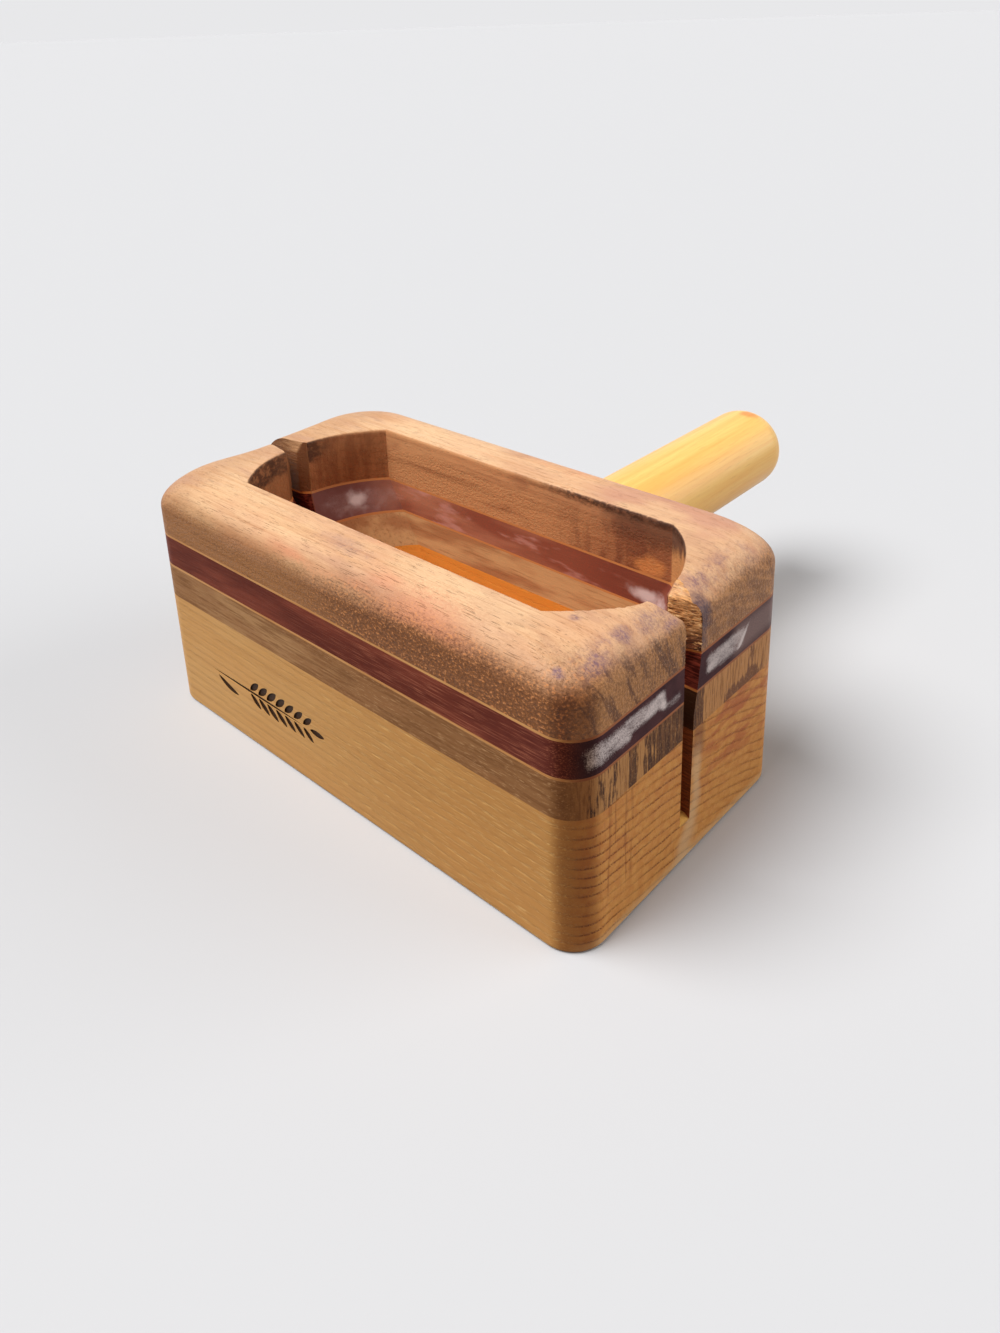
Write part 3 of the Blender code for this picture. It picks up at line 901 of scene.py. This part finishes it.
def walnut_band_material():
    wood = Wood("walnut_band_wood", 0.06)
    fade, mix, noise, plus, times, x, y = wood.kit[:-1]
    wide = noise((0.03, 0.08, 0.12), 3, 0.55, shift=23)
    streak = noise((0.07, 1.2, 1.2), 5, 0.65)
    fine = noise((0.3, 3.4, 3.4))
    right = fade(plus(x, times(wide, 40)), -10, 50)
    side = mix(right, (178, 133, 88), (146, 101, 62))
    side = mix(fade(wide, 0.42, 0.58), side, (154, 106, 66), 0.7)
    side = mix(fade(streak, 0.44, 0.66), side, (118, 76, 44), 0.7)
    side = mix(times(fade(fine, 0.56, 0.66), fade(right, 0, 1, 0.3, 0.7)), side, (200, 154, 108))
    # End grain: tan with upright streaks and near-black patches
    upright = noise((0.3, 1.7, 0.16))
    tan = mix(fade(y, 0, 8), (184, 132, 82), (192, 136, 86))
    end = mix(fade(upright, 0.44, 0.62), tan, (144, 96, 58), 0.8)
    ragged = plus(times(upright, 1.4), noise((0.3, 0.5, 0.3)))
    dark = plus(
        times(wood.patch((14, 36), (33, 41), 2.2), 0.95),
        times(wood.patch((None, 25.5, None), (None, 29, 45), 1.8), 0.7),
        *[times(wood.between(y, *patch), weight) for weight, *patch in BAND_PATCHES],
    )
    dark = fade(plus(times(dark, 0.62), times(ragged, 0.8)), 1.22, 1.46)
    char = mix(fade(upright, 0.4, 0.6), (104, 66, 44), (60, 38, 32))
    char = mix(fade(y, 0, 10), char, (112, 72, 52))
    end = mix(dark, end, char, 0.88)
    speck = noise((1, 2.2, 2.2), 3, 0.7, shift=29)
    end = mix(fade(speck, 0.55, 0.68), end, (200, 148, 98), 0.5)
    colour = mix(wood.end_grain, side, end)
    # Inside the pocket the band is lighter than outside: painted light
    inner = mix(fade(wide, 0.4, 0.62), (214, 168, 116), (180, 126, 84))
    inner = mix(fade(streak, 0.48, 0.72), inner, (150, 96, 60), 0.5)
    colour = mix(wood.pocket(), colour, inner, 0.9)
    # The slot's walls: near-black, painted shade
    colour = mix(wood.slot(), colour, (62, 30, 20), 0.9)
    height = plus(times(fine, 0.8), times(streak, 0.5))
    return wood.finish(colour, fade(streak, 0.3, 0.7, 0.4, 0.55), height, 0.09)


def veneer_material():
    wood = Wood("veneer_wood", 0.12)
    fade, mix, noise = wood.kit[:3]
    streak = noise((0.05, 0.9, 2))
    colour = mix(fade(streak, 0.3, 0.7), (214, 158, 98), (190, 128, 72))
    colour = mix(wood.end_grain, colour, (156, 92, 54))
    colour = mix(wood.pocket(), colour, (204, 132, 78), 0.8)
    colour = mix(wood.slot(), colour, (222, 130, 66), 0.8)
    return wood.finish(colour, fade(streak, 0.3, 0.7, 0.38, 0.5), streak, 0.03)


# Centres and radii of the bright spots of painted reflection on the pocket's bowed ends
PURPLE_REFLECTIONS = (((-55, 14.5, 53.5), (8, 4.6, 3.4)), ((51.5, 24, 52.2), (8.5, 7, 3)))


def purpleheart_material():
    wood = Wood("purpleheart_wood", 0.03)
    fade, mix, noise, plus, times, x, y, z = wood.kit
    wide = noise((0.025, 0.1, 0.12), 3, 0.55, shift=2)
    dash_noise = noise((0.11, 4.6, 5.6), 2.5)
    dashes = fade(dash_noise, 0.54, 0.64)
    right = fade(x, -30, 40, 0.15, 0.75)
    side = mix(fade(wide, 0.38, 0.62), (126, 61, 45), (102, 45, 33))
    side = mix(fade(dash_noise, 0.46, 0.34), side, (66, 22, 16), 0.5)
    side = mix(fade(x, 36, 74), side, (70, 28, 30), 0.45)
    side = mix(times(dashes, right), side, (176, 106, 80))
    end = mix(fade(wide, 0.35, 0.65), (78, 46, 48), (58, 32, 36))
    # End grain: a painted whitish reflection in fine strokes, one patch on each half
    grit = noise((1.6, 2.8, 2.8), 4, 0.75, shift=9)
    strokes = noise((1, 0.22, 0.5), shift=21)
    front = wood.patch((-41, 50), (-25, 56.6), 2.2)
    front = wood.largest(front, wood.patch((-29, 51.6), (-12, 57), 1.6))
    tail = times(wood.patch((-14, 50), (-5, 53), 1.8), 0.75)
    rear = times(wood.patch((5, 50), (24, 56.6), 2), fade(y, 26, 10, 0.88, 1.05))
    slash = wood.math("ABSOLUTE", plus(y, times(z, -0.9), 25))
    slash = times(fade(slash, 1.3, 0.3), wood.patch((15, 50.5), (27, 57.2), 0.6))
    area = plus(times(plus(front, tail, rear), 0.46), times(slash, 0.26))
    grain = plus(times(grit, 0.72), times(strokes, 0.4))
    sheen_strokes = times(fade(plus(area, grain), 0.8, 1.16), fade(y, 0, 6, 1, 0.82))
    # A fainter painted sheen on the rear half of the end
    faint_sheen = times(wood.patch((18, 49.5), (40, 57.5), 2.5), fade(grit, 0.3, 0.6, 0.35, 0.75))
    end = mix(faint_sheen, end, (150, 124, 118))
    end = mix(fade(grit, 0.56, 0.7), end, (150, 112, 108), 0.35)
    colour = mix(wood.end_grain, side, mix(sheen_strokes, end, (228, 212, 208)))
    # Inside the pocket: redder and lighter than outside, which is painted light, with painted glints and a
    # painted whitish reflection on the bowed ends
    inner = mix(fade(wide, 0.35, 0.65), (186, 123, 94), (152, 86, 65))
    glint = noise((0.06, 0.12, 0.22), shift=15)
    inner = mix(fade(glint, 0.52, 0.68), inner, (220, 160, 144), 0.6)
    inner = mix(fade(x, 20, 50), inner, (112, 52, 44), 0.6)
    haze_reflection = times(wood.spot((-54, 14, 53), (9, 16, 5), 0.9), fade(glint, 0.4, 0.6, 0.1, 0.5))
    for centre, radii in PURPLE_REFLECTIONS:
        haze_reflection = wood.largest(haze_reflection, wood.spot(centre, radii, 0.8))
    inner = mix(wood.end_grain, inner, (128, 82, 76))
    inner = mix(haze_reflection, inner, (236, 216, 212), 0.85)
    colour = mix(wood.pocket(), colour, inner, 0.9)
    sawn = fade(noise((0.2, 1, 2.4), 4, 0.7, shift=13), 0.42, 0.62)
    colour = mix(wood.slot(), colour, mix(sawn, (70, 22, 18), (146, 62, 46)), 0.9)
    height = plus(times(dash_noise, 0.6), times(sheen_strokes, wood.end_grain, 0.5))
    return wood.finish(colour, fade(grit, 0.3, 0.7, 0.32, 0.48), height, 0.06)


def handle_material():
    wood = Wood("handle_wood", 0.3)
    fade, mix, noise = wood.kit[:3]
    streak = noise((0.35, 0.012, 0.35), 4)
    fine = noise((2.2, 0.05, 2.2))
    pores = fade(noise((3.2, 0.16, 3.2), 2, 0.5, shift=3), 0.6, 0.68)
    colour = mix(fade(streak, 0.3, 0.7), (253, 204, 116), (248, 186, 96))
    # The underside painted a warmer orange: painted light
    underside = fade(wood.z, HANDLE_Z + 3, HANDLE_Z - 9)
    colour = mix(underside, colour, (255, 188, 96), 0.7)
    colour = mix(fade(fine, 0.45, 0.75), colour, (220, 144, 66), 0.2)
    colour = mix(pores, colour, (184, 116, 56), 0.16)
    # A knot
    colour = mix(wood.spot((20.5, 133, 65.5), (4, 4.5, 4), 0.8), colour, (212, 112, 44), 0.6)
    return wood.finish(colour, fade(fine, 0.3, 0.7, 0.28, 0.4), fine, 0.03)


# Pieces

cap_grid = dict(columns=32, rows=44, front_steps=200, rim_steps=5)
band_grid = dict(columns=14, rows=14, front_steps=60)
veneer_grid = dict(columns=14, rows=2, front_steps=60)
veneer = veneer_material()
LAYERS = (
    ("walnut_band", BASE_TOP, BAND_TOP, band_grid, walnut_band_material(), "walnut"),
    ("lower_veneer", BAND_TOP, PURPLE_BOTTOM, veneer_grid, veneer, "veneer"),
    ("purpleheart_band", PURPLE_BOTTOM, PURPLE_TOP, band_grid, purpleheart_material(), "purpleheart"),
    ("upper_veneer", PURPLE_TOP, CAP_BOTTOM, veneer_grid, veneer, "veneer"),
    ("walnut_cap", CAP_BOTTOM, TOP, cap_grid, walnut_cap_material(), "walnut"),
)


def dress(piece, material, node, slot):
    """Gives a piece its wood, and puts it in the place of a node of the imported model."""
    piece.data.materials.clear()
    piece.data.materials.append(material)
    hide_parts(node)
    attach(piece, "root")


dress(base_piece(), base_material(), "base_block", "base")
bore = bore_cutter()
for layer, bottom, top, grid, material, slot in LAYERS:
    for side, half in ((-1, "front"), (1, "rear")):
        piece = ring_half(f"{layer}_{half}_wood", side, bottom, top, **grid)
        if side > 0:
            subtract(piece, bore)
        dress(piece, material, f"{layer}_{half}", slot)
bpy.data.objects.remove(bore)
dress(handle_piece(), handle_material(), "handle", "handle")


# Floor, light and camera

FLOOR_SEEN = (0.60, 0.60, 0.61, 1)
FLOOR_BOUNCE = (0.26, 0.25, 0.24, 1)
FLOOR_HALF_SIZE = 60.0
FLOOR_DROP = 0.0002


def two_looks(tree, thrown, seen, output):
    """Lights with one shader, and shows another to the camera, also in a reflection or through glass."""
    path = tree.nodes.new("ShaderNodeLightPath")
    shown = path.outputs["Is Camera Ray"]
    for ray in ("Is Glossy Ray", "Is Transmission Ray"):
        either = tree.nodes.new("ShaderNodeMath")
        either.operation = "MAXIMUM"
        tree.links.new(shown, either.inputs[0])
        tree.links.new(path.outputs[ray], either.inputs[1])
        shown = either.outputs[0]
    mix = tree.nodes.new("ShaderNodeMixShader")
    tree.links.new(shown, mix.inputs[0])
    tree.links.new(thrown.outputs[0], mix.inputs[1])
    tree.links.new(seen.outputs[0], mix.inputs[2])
    tree.links.new(mix.outputs[0], tree.nodes[output].inputs["Surface"])


def floor():
    """A pale floor, which throws less light back on to the object than a camera sees on it."""
    mesh = bpy.data.meshes.new("floor")
    corners = [(-1, -1), (1, -1), (1, 1), (-1, 1)]
    points = [(FLOOR_HALF_SIZE * x, FLOOR_HALF_SIZE * y, -FLOOR_DROP) for x, y in corners]
    mesh.from_pydata(points, [], [(0, 1, 2, 3)])
    paint = bpy.data.materials.new("floor")
    paint.use_nodes = True
    tree = paint.node_tree
    seen = tree.nodes["Principled BSDF"]
    seen.inputs["Base Color"].default_value = FLOOR_SEEN
    seen.inputs["Roughness"].default_value = 0.9
    seen.inputs["Specular IOR Level"].default_value = 0.1
    bounce = tree.nodes.new("ShaderNodeBsdfDiffuse")
    bounce.inputs["Color"].default_value = FLOOR_BOUNCE
    two_looks(tree, bounce, seen, "Material Output")
    mesh.materials.append(paint)
    placed("floor", mesh)


# Soft studio lights: where each one comes from, its strength and how wide it looks, in degrees
LIGHTS = (
    ("key light", (-0.35, -0.50, 1.0), 3.65, 40.0),
    ("right light", (1.0, 0.85, 0.40), 1.7, 50.0),
)
WORLD_STRENGTH = 0.2
WORLD_SEEN = (0.807, 0.807, 0.82, 1)


def lights():
    for name, source, strength, spread in LIGHTS:
        light = bpy.data.lights.new(name, "SUN")
        light.energy = strength
        light.angle = math.radians(spread)
        placed(name, light).rotation_euler = (-Vector(source)).to_track_quat("-Z", "Y").to_euler()
    world = bpy.data.worlds.new("studio")
    world.use_nodes = True
    tree = world.node_tree
    light = tree.nodes["Background"]
    light.inputs["Color"].default_value = (1.0, 1.0, 1.0, 1)
    light.inputs["Strength"].default_value = WORLD_STRENGTH
    seen = tree.nodes.new("ShaderNodeBackground")
    seen.inputs["Color"].default_value = WORLD_SEEN
    two_looks(tree, light, seen, "World Output")
    bpy.context.scene.world = world


# The fitted camera: its place in metres, and its yaw, pitch and roll in degrees
CAMERA_PLACE = (0.193594, -0.185111, 0.200658)
CAMERA_TURN = (42.715, 19.801, -1.900)
FOCAL_PIXELS = 1049.0
SHIFT_PIXELS = -266.5
PICTURE_HEIGHT = 1333


def camera():
    data = bpy.data.cameras.new("camera")
    data.sensor_width = 36.0
    data.lens = FOCAL_PIXELS * data.sensor_width / PICTURE_HEIGHT
    data.shift_y = SHIFT_PIXELS / PICTURE_HEIGHT
    data.clip_start = 0.005
    obj = placed("camera", data)
    yaw, pitch, roll = [math.radians(angle) for angle in CAMERA_TURN]
    back = Vector((math.sin(yaw) * math.cos(pitch), -math.cos(yaw) * math.cos(pitch), math.sin(pitch)))
    level = Vector((0, 0, 1)).cross(back).normalized()
    upright = back.cross(level)
    right = math.cos(roll) * level + math.sin(roll) * upright
    up = back.cross(right)
    turn = Matrix((right, up, back)).transposed()
    obj.matrix_world = Matrix.Translation(CAMERA_PLACE) @ turn.to_4x4()
    bpy.context.scene.camera = obj


floor()
lights()
camera()
bpy.context.scene.view_settings.view_transform = "Standard"
